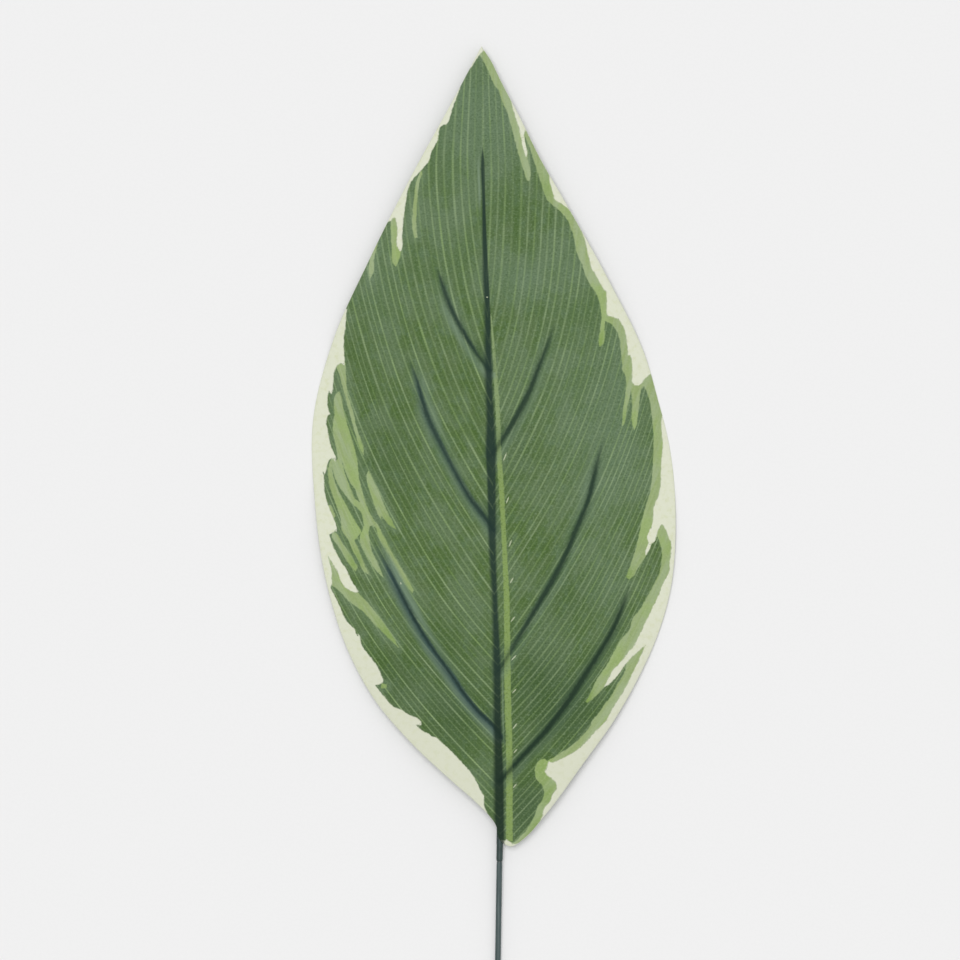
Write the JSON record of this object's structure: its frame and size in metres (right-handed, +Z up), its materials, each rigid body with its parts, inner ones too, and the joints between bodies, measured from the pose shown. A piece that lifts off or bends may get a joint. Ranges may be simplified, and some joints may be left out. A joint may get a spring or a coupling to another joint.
{
  "type": "artificial hosta leaf on a wired stem",
  "caption": "Long pointed variegated cloth leaf on a moulded rib frame with a wired stem, lying face up; decorative foliage for arranging.",
  "frame": {"origin": "under the middle of the whole part's box, on the surface it lies on", "axes": "+Y from the stem's cut end to the leaf's tip, +Z up out of the leaf's printed face, +X to the right seen from above"},
  "size_m": [0.1328, 0.5, 0.0099],
  "materials": {
    "printed_cloth": "thin woven cloth, printed green with a cream margin",
    "rib_plastic": "moulded, dark blue green, satin",
    "stem_plastic": "extruded cover, grey green, satin",
    "steel_wire": "drawn wire"
  },
  "bodies": {
    "root": {"blade": "printed_cloth", "rib_frame": "rib_plastic", "stem_cover": "stem_plastic", "stem_wire": "steel_wire"}
  },
  "joints": []
}
